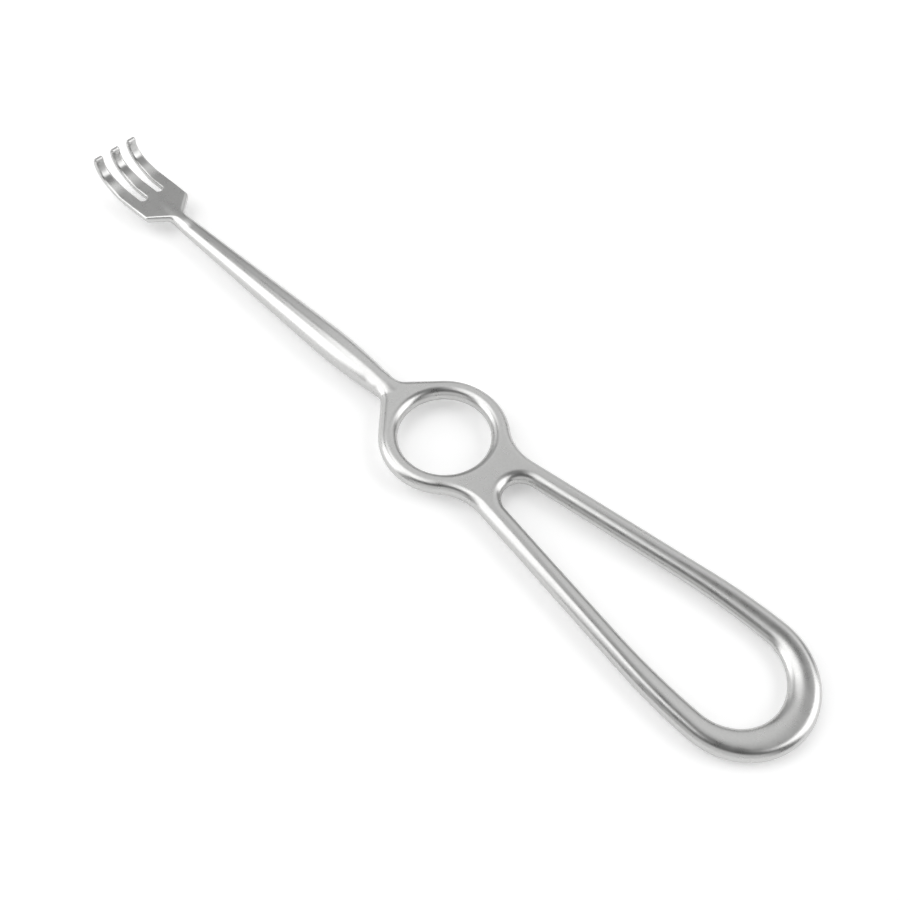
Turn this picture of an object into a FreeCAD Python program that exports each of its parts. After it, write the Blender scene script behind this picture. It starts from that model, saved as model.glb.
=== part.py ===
"""Three-pronged hand retractor, forged from stainless steel in one piece.

Each outline below is drawn with X along the instrument towards the prongs, Y across it,
and Z up from the middle of the handle's thickness, with zero at the centre of the finger ring.
The finished piece is then laid on the table: X runs from loop to prongs, with zero halfway,
and Z is zero at the table. Lengths are in millimetres, angles in degrees.
"""
import FreeCAD, Part
import math
import os
import Sketcher

NODE = "retractor"

# Driving dimensions: name, value, meaning
SIZES = (
    # Handle, seen from above
    ("ring_bore", 21.0, "hole of the finger ring"),
    ("ring_outer_diameter", 29.7, "finger ring, outside"),
    ("handle_thickness", 4.2, "loop, web and ring, top to bottom"),
    ("loop_end_station", 80.2, "ring centre back to the centre of the loop's outer end"),
    ("loop_end_radius", 16.1, "outer end of the loop"),
    ("loop_side_radius", 125.0, "slow curve from the loop's end to its straight sides"),
    ("loop_side_slope", 8.0, "angle of the loop's sides to the long axis"),
    ("waist_radius", 12.0, "hollow curve between loop and ring"),
    ("opening_end_station", 79.0, "ring centre back to the centre of the opening's wide end"),
    ("opening_end_radius", 10.6, "wide end of the loop opening"),
    ("opening_side_radius", 160.0, "slow curve from that end to the opening's straight sides"),
    ("opening_apex_radius", 4.3, "narrow end of the loop opening"),
    ("opening_apex_station", 23.2856, "ring centre back to the centre of that end; the bars keep one width"),
    ("flare_angle", 47.0, "slope of the web between ring and shaft"),
    ("flare_neck_radius", 5.0, "hollow curve where that web meets the shaft"),
    ("flare_neck_width", 5.2, "web where it runs out into the shaft"),
    # Rounding of the handle's edges
    ("handle_round", 2.0, "outer edges of loop, web and ring"),
    ("opening_round", 2.0, "edges of the loop opening"),
    ("ring_round", 2.0, "edges of the finger hole"),
    # Shaft
    ("shaft_dip", 1.0, "angle by which the shaft points below the handle's plane"),
    ("shaft_root_station", 15.0, "start of the shaft inside the web"),
    ("shaft_neck_station", 18.5, "shaft where it leaves the web"),
    ("shaft_root_curve", 8.0, "lengthwise curve by which the shaft sinks into the web"),
    ("swell_station", 37.0, "thickest place of the shaft"),
    ("swell_diameter", 7.6, "shaft at its thickest"),
    ("swell_radius", 150.0, "lengthwise curve of the thickest stretch"),
    ("shaft_taper", 1.65, "slope of the shaft's side from there to the fork"),
    ("shaft_end_station", 94.0, "end of the plain taper"),
    ("shaft_tip_station", 104.0, "where the shaft has sunk into the plate"),
    ("shaft_tip_radius", 0.85, "shaft at that place"),
    # Fork, seen from the side
    ("plate_top_station", 100.0, "place at which the plate's height is given"),
    ("plate_top_height", 0.2, "top of the plate there, above the handle's middle"),
    ("plate_slope", 3.5, "angle by which the plate points down"),
    ("plate_thickness", 2.0, "plate and foot of each prong"),
    ("bend_station", 113.9, "centre of the slow upward bend of the prongs"),
    ("bend_radius", 15.3, "underside of that bend"),
    ("ramp_angle", 29.0, "upward angle of the prongs after it"),
    ("hook_radius", 4.8, "outside of the hooks"),
    ("hook_inner_radius", 3.63, "inside of the hooks"),
    ("hook_angle", 131.0, "direction in which the hooks end"),
    # Fork, seen from above
    ("fork_width", 13.5, "three prongs, over their outer sides"),
    ("fork_neck_station", 94.8, "where the plate grows out of the shaft"),
    ("fork_neck_width", 1.8, "width of the plate there"),
    ("fork_neck_radius", 4.0, "hollow curve between shaft and shoulder"),
    ("shoulder_angle", 46.5, "slope of the shoulders"),
    ("shoulder_radius", 1.5, "corner of the shoulders"),
    ("slot_station", 108.1, "root of the slots"),
    ("slot_width", 2.0, "gap between the prongs"),
    ("middle_prong_width", 3.1, "middle prong at its foot"),
    ("prong_tip_width", 2.4, "each prong at its tip"),
    ("taper_station", 113.4, "where the prongs begin to taper"),
    ("cut_margin", 2.0, "how far the cuts reach past the solid"),
    ("fork_round", 0.45, "edges of plate and prongs"),
)

doc = FreeCAD.newDocument("hand_retractor")
sheet = doc.addObject("Spreadsheet::Sheet", "Sizes")
for row, (name, value, meaning) in enumerate(SIZES, start=1):
    sheet.set("A%d" % row, name)
    sheet.set("B%d" % row, str(value))
    sheet.set("C%d" % row, meaning)
    sheet.setAlias("B%d" % row, name)
doc.recompute()

body = doc.addObject("PartDesign::Body", "Retractor")
body.Label = NODE

# Formulas that several features share
LOOP_REACH = "(Sizes.loop_end_station + Sizes.loop_end_radius)"
FORK_REACH = ("(Sizes.bend_station + (Sizes.bend_radius - Sizes.hook_radius) * sin(Sizes.ramp_angle * 1 deg)"
              " + Sizes.hook_radius)")
CUT_END = FORK_REACH + " + Sizes.cut_margin"
OUTER_PRONG_MIDDLE = "(Sizes.middle_prong_width / 2 + Sizes.slot_width + Sizes.fork_width / 2) / 2"

# The two roundings of a bar never take up its whole width or thickness
ROUND_SHARE = 0.48
RIM = "(Sizes.ring_outer_diameter - Sizes.ring_bore) / 2"
# Distance of the loop's straight side from the ring's centre, and its bar at both ends of the opening
LOOP_SIDE = ("(Sizes.loop_side_radius - (Sizes.loop_side_radius - Sizes.loop_end_radius)"
             " * cos(Sizes.loop_side_slope * 1 deg)"
             " - Sizes.loop_end_station * sin(Sizes.loop_side_slope * 1 deg))")
WIDE_END_BAR = ("(" + LOOP_SIDE + " + Sizes.opening_end_station * sin(Sizes.loop_side_slope * 1 deg)"
                " + (Sizes.opening_side_radius - Sizes.opening_end_radius)"
                " * cos(Sizes.loop_side_slope * 1 deg) - Sizes.opening_side_radius)")
NARROW_END_BAR = ("(" + LOOP_SIDE + " + Sizes.opening_apex_station * sin(Sizes.loop_side_slope * 1 deg)"
                  " - Sizes.opening_apex_radius)")
TIP_WALL = "(Sizes.hook_radius - Sizes.hook_inner_radius)"


def rounding(name, *walls):
    """Formula of a rounding that stays within its share of each wall it lies on."""
    return "min(Sizes.%s; %s)" % (name, "; ".join("%g * %s" % (ROUND_SHARE, wall) for wall in walls))


HANDLE_ROUND = rounding("handle_round", "Sizes.handle_thickness", RIM, WIDE_END_BAR, NARROW_END_BAR)
RING_ROUND = rounding("ring_round", "Sizes.handle_thickness", RIM)
OPENING_ROUND = rounding("opening_round", "Sizes.handle_thickness", WIDE_END_BAR, NARROW_END_BAR)
FORK_ROUND = rounding("fork_round", TIP_WALL, "Sizes.prong_tip_width")

# How the finished piece lies: on the end of its loop and the thickest place of its shaft
FOOT_REACH = "(" + LOOP_REACH + " - " + HANDLE_ROUND + ")"
SHAFT_DEPTH = "(Sizes.swell_diameter / 2 + Sizes.swell_station * tan(Sizes.shaft_dip * 1 deg))"
REST_ANGLE = ("atan((" + SHAFT_DEPTH + " - Sizes.handle_thickness / 2)"
              " / (Sizes.swell_station + " + FOOT_REACH + "))")

# Slack in telling which outline an edge belongs to, the least length of an edge, and the angle of a corner
EDGE_REACH = 0.8
SHORTEST_EDGE = 0.001
CORNER = 20.0

# Point positions in a sketch, its long axis and its origin
START, END, CENTRE = range(1, 4)
X_AXIS = -1
ORIGIN = (X_AXIS, START)


def size(name):
    """Value of a driving dimension."""
    return float(sheet.get(name))


def origin_plane(role):
    """One of the body's three base planes."""
    return next(plane for plane in body.Origin.OriginFeatures if plane.Role == role)


def new_sketch(name, role):
    sketch = body.newObject("Sketcher::SketchObject", name)
    sketch.AttachmentSupport = [(origin_plane(role), "")]
    sketch.MapMode = "FlatFace"
    return sketch


def vector(x, y):
    return FreeCAD.Vector(x, y, 0)


def line(sketch, start, end, construction=False):
    return sketch.addGeometry(Part.LineSegment(vector(*start), vector(*end)), construction)


def arc(sketch, centre, radius, first, last):
    """Arc that runs counter-clockwise between two directions in degrees."""
    circle = Part.Circle(vector(*centre), FreeCAD.Vector(0, 0, 1), radius)
    return sketch.addGeometry(Part.ArcOfCircle(circle, math.radians(first), math.radians(last)))


def rule(sketch, *parts):
    return sketch.addConstraint(Sketcher.Constraint(*parts))


def drive(sketch, name, formula, *parts):
    """Dimension of a sketch that follows the sheet."""
    index = rule(sketch, *parts)
    sketch.renameConstraint(index, name)
    sketch.setExpression("Constraints." + name, formula)


def join(sketch, *corners):
    """Close the gaps between neighbouring pieces of an outline."""
    for first, first_end, second, second_end in corners:
        rule(sketch, "Coincident", first, first_end, second, second_end)


def smooth(sketch, *corners):
    """Join neighbouring pieces of an outline without a corner."""
    for first, first_end, second, second_end in corners:
        rule(sketch, "Tangent", first, first_end, second, second_end)


def on_axis(sketch, geometry, point):
    rule(sketch, "PointOnObject", geometry, point, X_AXIS)


def point_at(centre, radius, direction):
    angle = math.radians(direction)
    return (centre[0] + radius * math.cos(angle), centre[1] + radius * math.sin(angle))


def check_sketch(sketch):
    doc.recompute()
    if sketch.solve() != 0 or sketch.State and "Invalid" in sketch.State:
        raise RuntimeError("sketch %s can't be solved" % sketch.Name)


def solid_volume(feature):
    return feature.Shape.Volume if feature else 0.0


def finish(feature, base, grows):
    """Recompute after a feature and see that it added (1) or took away (-1) material."""
    body.Tip = feature
    doc.recompute()
    gained = feature.Shape.Volume - solid_volume(base)
    if not feature.Shape.isValid() or gained * grows <= 0:
        raise RuntimeError("%s did not work" % feature.Name)
    return feature


# Fork from the side: plate, slow bend and hooks in one outline
def fork_side_sketch():
    sketch = new_sketch("ForkSide", "XZ_Plane")
    slope, ramp, tip = size("plate_slope"), size("ramp_angle"), size("hook_angle")
    outer, wall = size("bend_radius"), size("plate_thickness")
    hook, hook_inner = size("hook_radius"), size("hook_inner_radius")
    top_at = size("plate_top_station"), size("plate_top_height")
    fall = math.tan(math.radians(slope))
    bend_x = size("bend_station")
    inner = outer - wall
    bend_top_x = bend_x - inner * math.sin(math.radians(slope))
    bend = (bend_x, top_at[1] - (bend_top_x - top_at[0]) * fall + inner * math.cos(math.radians(slope)))
    hook_at = point_at(bend, outer - hook, ramp - 90)
    hook_inner_at = point_at(bend, inner - hook_inner, ramp - 90)
    tail_x = size("fork_neck_station")
    tail_top = (tail_x, top_at[1] + (top_at[0] - tail_x) * fall)
    tail_foot = (tail_x, tail_top[1] - wall / math.cos(math.radians(slope)))
    bend_top = point_at(bend, inner, -90 - slope)
    bend_foot = point_at(bend, outer, -90 - slope)
    # The tips are cut square to the outside of the hooks
    toward = math.radians(tip - 90)
    reach = ((hook_inner_at[0] - hook_at[0]) * math.cos(toward)
             + (hook_inner_at[1] - hook_at[1]) * math.sin(toward))
    aside = ((hook_inner_at[1] - hook_at[1]) * math.cos(toward)
             - (hook_inner_at[0] - hook_at[0]) * math.sin(toward))
    tip_inner = point_at(hook_at, reach + math.sqrt(hook_inner ** 2 - aside ** 2), tip - 90)
    inner_end = math.degrees(math.atan2(tip_inner[1] - hook_inner_at[1], tip_inner[0] - hook_inner_at[0]))

    top = line(sketch, tail_top, bend_top)
    bend_in = arc(sketch, bend, inner, -90 - slope, ramp - 90)
    hook_in = arc(sketch, hook_inner_at, hook_inner, ramp - 90, inner_end)
    end = line(sketch, tip_inner, point_at(hook_at, hook, tip - 90))
    hook_out = arc(sketch, hook_at, hook, ramp - 90, tip - 90)
    bend_out = arc(sketch, bend, outer, -90 - slope, ramp - 90)
    foot = line(sketch, bend_foot, tail_foot)
    back = line(sketch, tail_foot, tail_top)
    mark = sketch.addGeometry(Part.Point(vector(*top_at)), True)

    smooth(sketch, (top, END, bend_in, START), (bend_in, END, hook_in, START),
           (hook_out, START, bend_out, END), (bend_out, START, foot, START))
    join(sketch, (hook_in, END, end, START), (end, END, hook_out, END),
         (foot, END, back, START), (back, END, top, START), (bend_in, CENTRE, bend_out, CENTRE))
    rule(sketch, "Vertical", back)
    rule(sketch, "Parallel", top, foot)
    rule(sketch, "PointOnObject", hook_out, CENTRE, end)
    rule(sketch, "PointOnObject", mark, START, top)
    drive(sketch, "plate_x", "Sizes.plate_top_station", "DistanceX", *ORIGIN, mark, START, top_at[0])
    drive(sketch, "plate_z", "Sizes.plate_top_height", "DistanceY", *ORIGIN, mark, START, top_at[1])
    drive(sketch, "tail_x", "Sizes.fork_neck_station", "DistanceX", *ORIGIN, back, START, tail_x)
    drive(sketch, "bend_x", "Sizes.bend_station", "DistanceX", *ORIGIN, bend_out, CENTRE, bend_x)
    drive(sketch, "bend_outer", "Sizes.bend_radius", "Radius", bend_out, outer)
    drive(sketch, "bend_inner", "Sizes.bend_radius - Sizes.plate_thickness", "Radius", bend_in, inner)
    drive(sketch, "hook_outer", "Sizes.hook_radius", "Radius", hook_out, hook)
    drive(sketch, "hook_inner", "Sizes.hook_inner_radius", "Radius", hook_in, hook_inner)
    drive(sketch, "slope", "Sizes.plate_slope * 1 deg", "Angle", top, END, X_AXIS, END, math.radians(slope))
    drive(sketch, "ramp_outer", "(Sizes.plate_slope + Sizes.ramp_angle) * 1 deg",
          "Angle", bend_out, math.radians(slope + ramp))
    drive(sketch, "ramp_inner", "(Sizes.plate_slope + Sizes.ramp_angle) * 1 deg",
          "Angle", bend_in, math.radians(slope + ramp))
    drive(sketch, "sweep", "(Sizes.hook_angle - Sizes.ramp_angle) * 1 deg",
          "Angle", hook_out, math.radians(tip - ramp))
    check_sketch(sketch)
    return sketch


# Fork from above, one side: what is cut away outside the shoulder and the outer prong
def fork_outline_sketch():
    sketch = new_sketch("ForkOutline", "XY_Plane")
    half, neck_half = size("fork_width") / 2, size("fork_neck_width") / 2
    neck_x, neck_r = size("fork_neck_station"), size("fork_neck_radius")
    angle, corner = size("shoulder_angle"), size("shoulder_radius")
    taper_x, end_x = size("taper_station"), cut_end()
    margin = size("cut_margin")
    tip_y = outer_prong_middle() + size("prong_tip_width") / 2
    start_x = neck_x - margin
    neck = (neck_x, neck_half + neck_r)
    neck_end = point_at(neck, neck_r, angle - 90)
    fall = corner * (1 - math.cos(math.radians(angle)))
    corner_start_x = neck_end[0] + (half - fall - neck_end[1]) / math.tan(math.radians(angle))
    corner_at = (corner_start_x + corner * math.sin(math.radians(angle)), half - corner)
    corner_start = (corner_start_x, half - fall)

    tail = line(sketch, (start_x, neck_half), (neck_x, neck_half))
    hollow = arc(sketch, neck, neck_r, -90, angle - 90)
    shoulder = line(sketch, neck_end, corner_start)
    turn = arc(sketch, corner_at, corner, 90, 90 + angle)
    side = line(sketch, (corner_at[0], half), (taper_x, half))
    taper = line(sketch, (taper_x, half), (end_x, tip_y))
    front = line(sketch, (end_x, tip_y), (end_x, half + margin))
    outside = line(sketch, (end_x, half + margin), (start_x, half + margin))
    back = line(sketch, (start_x, half + margin), (start_x, neck_half))

    smooth(sketch, (tail, END, hollow, START), (hollow, END, shoulder, START),
           (shoulder, END, turn, END), (turn, START, side, START))
    join(sketch, (side, END, taper, START), (taper, END, front, START), (front, END, outside, START),
         (outside, END, back, START), (back, END, tail, START))
    for level in (tail, side, outside):
        rule(sketch, "Horizontal", level)
    for upright in (front, back):
        rule(sketch, "Vertical", upright)
    drive(sketch, "neck_x", "Sizes.fork_neck_station", "DistanceX", *ORIGIN, hollow, CENTRE, neck_x)
    drive(sketch, "neck_y", "Sizes.fork_neck_width / 2", "DistanceY", *ORIGIN, tail, END, neck_half)
    drive(sketch, "neck_radius", "Sizes.fork_neck_radius", "Radius", hollow, neck_r)
    drive(sketch, "corner_radius", "Sizes.shoulder_radius", "Radius", turn, corner)
    drive(sketch, "shoulder_sweep", "Sizes.shoulder_angle * 1 deg", "Angle", hollow, math.radians(angle))
    drive(sketch, "half_width", "Sizes.fork_width / 2", "DistanceY", *ORIGIN, side, START, half)
    drive(sketch, "taper_x", "Sizes.taper_station", "DistanceX", *ORIGIN, side, END, taper_x)
    drive(sketch, "end_x", CUT_END, "DistanceX", *ORIGIN, front, START, end_x)
    drive(sketch, "tip_y", OUTER_PRONG_MIDDLE + " + Sizes.prong_tip_width / 2",
          "DistanceY", *ORIGIN, front, START, tip_y)
    drive(sketch, "outside", "Sizes.cut_margin", "DistanceY", side, START, outside, START, margin)
    drive(sketch, "behind", "Sizes.cut_margin", "DistanceX", tail, START, tail, END, margin)
    check_sketch(sketch)
    return sketch


def outer_prong_middle():
    """Distance of an outer prong's centre line from the long axis."""
    return (size("middle_prong_width") / 2 + size("slot_width") + size("fork_width") / 2) / 2


def cut_end():
    """Place beyond the hooks at which the cuts of the fork end."""
    rise = size("bend_radius") - size("hook_radius")
    return (size("bend_station") + rise * math.sin(math.radians(size("ramp_angle")))
            + size("hook_radius") + size("cut_margin"))


# One of the two slots between the prongs, with its round root
def slot_sketch():
    sketch = new_sketch("Slot", "XY_Plane")
    width, middle = size("slot_width"), size("middle_prong_width")
    taper_x, end_x = size("taper_station"), cut_end()
    inner_y = middle / 2
    outer_y = inner_y + width
    root = (size("slot_station") + width / 2, inner_y + width / 2)
    tip_inner = size("prong_tip_width") / 2
    tip_outer = outer_prong_middle() - tip_inner

    bottom = arc(sketch, root, width / 2, 90, 270)
    inner = line(sketch, (root[0], inner_y), (taper_x, inner_y))
    inner_taper = line(sketch, (taper_x, inner_y), (end_x, tip_inner))
    front = line(sketch, (end_x, tip_inner), (end_x, tip_outer))
    outer_taper = line(sketch, (end_x, tip_outer), (taper_x, outer_y))
    outer = line(sketch, (taper_x, outer_y), (root[0], outer_y))

    smooth(sketch, (bottom, END, inner, START), (outer, END, bottom, START))
    join(sketch, (inner, END, inner_taper, START), (inner_taper, END, front, START),
         (front, END, outer_taper, START), (outer_taper, END, outer, START))
    rule(sketch, "Horizontal", inner)
    rule(sketch, "Horizontal", outer)
    rule(sketch, "Vertical", front)
    rule(sketch, "Vertical", inner, END, outer, START)
    drive(sketch, "root_x", "Sizes.slot_station + Sizes.slot_width / 2",
          "DistanceX", *ORIGIN, bottom, CENTRE, root[0])
    drive(sketch, "inner_y", "Sizes.middle_prong_width / 2", "DistanceY", *ORIGIN, inner, START, inner_y)
    drive(sketch, "width", "Sizes.slot_width", "DistanceY", inner, END, outer, START, width)
    drive(sketch, "taper_x", "Sizes.taper_station", "DistanceX", *ORIGIN, inner, END, taper_x)
    drive(sketch, "end_x", CUT_END, "DistanceX", *ORIGIN, front, START, end_x)
    drive(sketch, "tip_inner", "Sizes.prong_tip_width / 2", "DistanceY", *ORIGIN, front, START, tip_inner)
    drive(sketch, "tip_outer", OUTER_PRONG_MIDDLE + " - Sizes.prong_tip_width / 2",
          "DistanceY", *ORIGIN, front, END, tip_outer)
    check_sketch(sketch)
    return sketch


# Handle from above, one side: loop, waist, ring and the web that runs into the shaft
def handle_outline_sketch():
    sketch = new_sketch("HandleOutline", "XY_Plane")
    end_at, end_r = (-size("loop_end_station"), 0.0), size("loop_end_radius")
    side_r, slope = size("loop_side_radius"), size("loop_side_slope")
    waist_r, ring_r = size("waist_radius"), size("ring_outer_diameter") / 2
    flare, neck_r = size("flare_angle"), size("flare_neck_radius")
    neck_half = size("flare_neck_width") / 2
    side_at = (end_at[0], end_r - side_r)
    side_start = point_at(side_at, side_r, 90 - slope)
    across = point_at((0.0, 0.0), 1.0, 90 - slope)
    along = point_at((0.0, 0.0), 1.0, -slope)
    base = (side_start[0] + waist_r * across[0], side_start[1] + waist_r * across[1])
    base_along = base[0] * along[0] + base[1] * along[1]
    step = -base_along - math.sqrt(base_along ** 2 - base[0] ** 2 - base[1] ** 2 + (ring_r + waist_r) ** 2)
    waist = (base[0] + step * along[0], base[1] + step * along[1])
    waist_direction = math.degrees(math.atan2(waist[1], waist[0]))
    flare_direction = 90 - flare
    neck_y = neck_half + neck_r
    neck_x = ((ring_r + neck_r - neck_y * math.sin(math.radians(flare_direction)))
              / math.cos(math.radians(flare_direction)))
    neck = (neck_x, neck_y)

    end = arc(sketch, end_at, end_r, 90, 180)
    side_curve = arc(sketch, side_at, side_r, 90 - slope, 90)
    side = line(sketch, side_start, point_at(waist, waist_r, 270 - slope))
    hollow = arc(sketch, waist, waist_r, 270 - slope, waist_direction + 180)
    ring = arc(sketch, (0.0, 0.0), ring_r, flare_direction, waist_direction)
    web = line(sketch, point_at((0.0, 0.0), ring_r, flare_direction),
               point_at(neck, neck_r, flare_direction + 180))
    neck_curve = arc(sketch, neck, neck_r, flare_direction + 180, 270)
    neck_end = line(sketch, (neck_x, neck_half), (neck_x, 0.0))
    middle = line(sketch, (neck_x, 0.0), (end_at[0] - end_r, 0.0))

    smooth(sketch, (end, START, side_curve, END), (side_curve, START, side, START),
           (side, END, hollow, START), (hollow, END, ring, END), (ring, START, web, START),
           (web, END, neck_curve, START))
    join(sketch, (neck_curve, END, neck_end, START), (neck_end, END, middle, START),
         (middle, END, end, END), (ring, CENTRE) + ORIGIN)
    on_axis(sketch, end, CENTRE)
    on_axis(sketch, middle, START)
    on_axis(sketch, middle, END)
    rule(sketch, "Vertical", neck_end)
    rule(sketch, "Vertical", neck_curve, CENTRE, neck_curve, END)
    rule(sketch, "Vertical", end, CENTRE, side_curve, CENTRE)
    drive(sketch, "end_x", "Sizes.loop_end_station", "DistanceX", end, CENTRE, *ORIGIN, -end_at[0])
    drive(sketch, "end_radius", "Sizes.loop_end_radius", "Radius", end, end_r)
    drive(sketch, "side_radius", "Sizes.loop_side_radius", "Radius", side_curve, side_r)
    drive(sketch, "side_slope", "Sizes.loop_side_slope * 1 deg",
          "Angle", side, END, X_AXIS, END, math.radians(slope))
    drive(sketch, "waist_radius", "Sizes.waist_radius", "Radius", hollow, waist_r)
    drive(sketch, "ring_radius", "Sizes.ring_outer_diameter / 2", "Radius", ring, ring_r)
    drive(sketch, "web_slope", "Sizes.flare_angle * 1 deg",
          "Angle", web, END, X_AXIS, END, math.radians(flare))
    drive(sketch, "neck_radius", "Sizes.flare_neck_radius", "Radius", neck_curve, neck_r)
    drive(sketch, "neck_half", "Sizes.flare_neck_width / 2", "DistanceY", *ORIGIN, neck_end, START, neck_half)
    check_sketch(sketch)
    return sketch


def opening_slope():
    """Slope in degrees of the opening's straight sides, which touch the curves at both ends."""
    run = size("opening_end_station") - size("opening_apex_station")
    rise = size("opening_side_radius") - size("opening_end_radius")
    gap = size("opening_side_radius") - size("opening_apex_radius")
    return math.degrees(math.atan2(run, rise) - math.acos(gap / math.hypot(run, rise)))


# Opening of the loop, one side
def loop_opening_sketch():
    sketch = new_sketch("LoopOpening", "XY_Plane")
    end_at, end_r = (-size("opening_end_station"), 0.0), size("opening_end_radius")
    apex, apex_r = (-size("opening_apex_station"), 0.0), size("opening_apex_radius")
    side_r, slope = size("opening_side_radius"), opening_slope()
    side_at = (end_at[0], end_r - side_r)
    side_start = point_at(side_at, side_r, 90 - slope)

    end = arc(sketch, end_at, end_r, 90, 180)
    side_curve = arc(sketch, side_at, side_r, 90 - slope, 90)
    side = line(sketch, side_start, point_at(apex, apex_r, 90 - slope))
    point = arc(sketch, apex, apex_r, 0, 90 - slope)
    middle = line(sketch, (apex[0] + apex_r, 0.0), (end_at[0] - end_r, 0.0))

    smooth(sketch, (end, START, side_curve, END), (side_curve, START, side, START), (side, END, point, END))
    join(sketch, (point, START, middle, START), (middle, END, end, END))
    on_axis(sketch, end, CENTRE)
    on_axis(sketch, point, CENTRE)
    on_axis(sketch, middle, START)
    on_axis(sketch, middle, END)
    rule(sketch, "Vertical", end, CENTRE, side_curve, CENTRE)
    drive(sketch, "end_x", "Sizes.opening_end_station", "DistanceX", end, CENTRE, *ORIGIN, -end_at[0])
    drive(sketch, "end_radius", "Sizes.opening_end_radius", "Radius", end, end_r)
    drive(sketch, "side_radius", "Sizes.opening_side_radius", "Radius", side_curve, side_r)
    drive(sketch, "apex_x", "Sizes.opening_apex_station", "DistanceX", point, CENTRE, *ORIGIN, -apex[0])
    drive(sketch, "apex_radius", "Sizes.opening_apex_radius", "Radius", point, apex_r)
    check_sketch(sketch)
    return sketch


def ring_bore_sketch():
    sketch = new_sketch("RingBore", "XY_Plane")
    radius = size("ring_bore") / 2
    bore = sketch.addGeometry(Part.Circle(vector(0, 0), FreeCAD.Vector(0, 0, 1), radius))
    join(sketch, (bore, CENTRE) + ORIGIN)
    drive(sketch, "bore", "Sizes.ring_bore", "Diameter", bore, 2 * radius)
    check_sketch(sketch)
    return sketch


# Half the shaft's lengthwise section, drawn about its own dipping axis
def shaft_sketch():
    sketch = new_sketch("ShaftProfile", "XZ_Plane")
    sketch.AttachmentOffset = FreeCAD.Placement(
        FreeCAD.Vector(), FreeCAD.Rotation(FreeCAD.Vector(0, 0, -1), size("shaft_dip")))
    sketch.setExpression("AttachmentOffset.Rotation.Angle", "Sizes.shaft_dip * 1 deg")
    root_x, root_curve = size("shaft_root_station"), size("shaft_root_curve")
    neck_x, swell_x = size("shaft_neck_station"), size("swell_station")
    swell_half, swell_r = size("swell_diameter") / 2, size("swell_radius")
    taper = size("shaft_taper")
    taper_end_x = size("shaft_end_station")
    tip_x, tip_r = size("shaft_tip_station"), size("shaft_tip_radius")
    swell_at = (swell_x, swell_half - swell_r)
    neck_direction = math.degrees(math.acos((neck_x - swell_x) / swell_r))
    root_at = point_at(swell_at, swell_r - root_curve, neck_direction)
    root_direction = math.degrees(math.acos((root_x - root_at[0]) / root_curve))
    root_start = point_at(root_at, root_curve, root_direction)
    taper_start = point_at(swell_at, swell_r, 90 - taper)
    taper_end_r = taper_start[1] - (taper_end_x - taper_start[0]) * math.tan(math.radians(taper))
    # The last stretch bends on from the taper down to the tip
    fall = (taper_end_r - tip_r, tip_x - taper_end_x)
    across = point_at((0.0, 0.0), 1.0, 90 - taper)
    run_out_r = (fall[0] ** 2 + fall[1] ** 2) / (2 * (fall[0] * across[1] - fall[1] * across[0]))
    run_out_at = (taper_end_x - run_out_r * across[0], taper_end_r - run_out_r * across[1])
    tip_direction = math.degrees(math.atan2(tip_r - run_out_at[1], tip_x - run_out_at[0]))

    root_end = line(sketch, (root_x, 0.0), root_start)
    root = arc(sketch, root_at, root_curve, neck_direction, root_direction)
    swell = arc(sketch, swell_at, swell_r, 90 - taper, neck_direction)
    side = line(sketch, taper_start, (taper_end_x, taper_end_r))
    run_out = arc(sketch, run_out_at, run_out_r, tip_direction, 90 - taper)
    tip_end = line(sketch, (tip_x, tip_r), (tip_x, 0.0))
    middle = line(sketch, (tip_x, 0.0), (root_x, 0.0))

    smooth(sketch, (root, START, swell, END), (swell, START, side, START), (side, END, run_out, END))
    join(sketch, (root_end, END, root, END), (run_out, START, tip_end, START),
         (tip_end, END, middle, START), (middle, END, root_end, START))
    on_axis(sketch, middle, START)
    on_axis(sketch, middle, END)
    rule(sketch, "Vertical", root_end)
    rule(sketch, "Vertical", tip_end)
    drive(sketch, "root_x", "Sizes.shaft_root_station", "DistanceX", *ORIGIN, root, END, root_x)
    drive(sketch, "root_curve", "Sizes.shaft_root_curve", "Radius", root, root_curve)
    drive(sketch, "neck_x", "Sizes.shaft_neck_station", "DistanceX", *ORIGIN, swell, END, neck_x)
    drive(sketch, "swell_x", "Sizes.swell_station", "DistanceX", *ORIGIN, swell, CENTRE, swell_x)
    drive(sketch, "swell_top", "Sizes.swell_radius - Sizes.swell_diameter / 2",
          "DistanceY", swell, CENTRE, *ORIGIN, -swell_at[1])
    drive(sketch, "swell_curve", "Sizes.swell_radius", "Radius", swell, swell_r)
    drive(sketch, "taper", "Sizes.shaft_taper * 1 deg", "Angle", side, END, X_AXIS, END, math.radians(taper))
    drive(sketch, "taper_end", "Sizes.shaft_end_station", "DistanceX", *ORIGIN, side, END, taper_end_x)
    drive(sketch, "tip_x", "Sizes.shaft_tip_station", "DistanceX", *ORIGIN, tip_end, START, tip_x)
    drive(sketch, "tip_r", "Sizes.shaft_tip_radius", "DistanceY", *ORIGIN, tip_end, START, tip_r)
    check_sketch(sketch)
    return sketch


def pad(name, sketch, length):
    """Solid of an outline, half its length to either side of the sketch."""
    base = body.Tip
    feature = body.newObject("PartDesign::Pad", name)
    feature.Profile = sketch
    feature.SideType = "Symmetric"
    feature.setExpression("Length", length)
    return finish(feature, base, 1)


def pocket(name, sketch):
    """Cut of an outline right through the solid, both ways."""
    base = body.Tip
    feature = body.newObject("PartDesign::Pocket", name)
    feature.Profile = sketch
    feature.Type = "ThroughAll"
    feature.SideType = "Symmetric"
    return finish(feature, base, -1)


def mirror(name, originals, grows):
    """The same again on the other side of the long axis."""
    base = body.Tip
    feature = body.newObject("PartDesign::Mirrored", name)
    feature.Originals = originals
    feature.MirrorPlane = (origin_plane("XZ_Plane"), [""])
    return finish(feature, base, grows)


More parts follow.
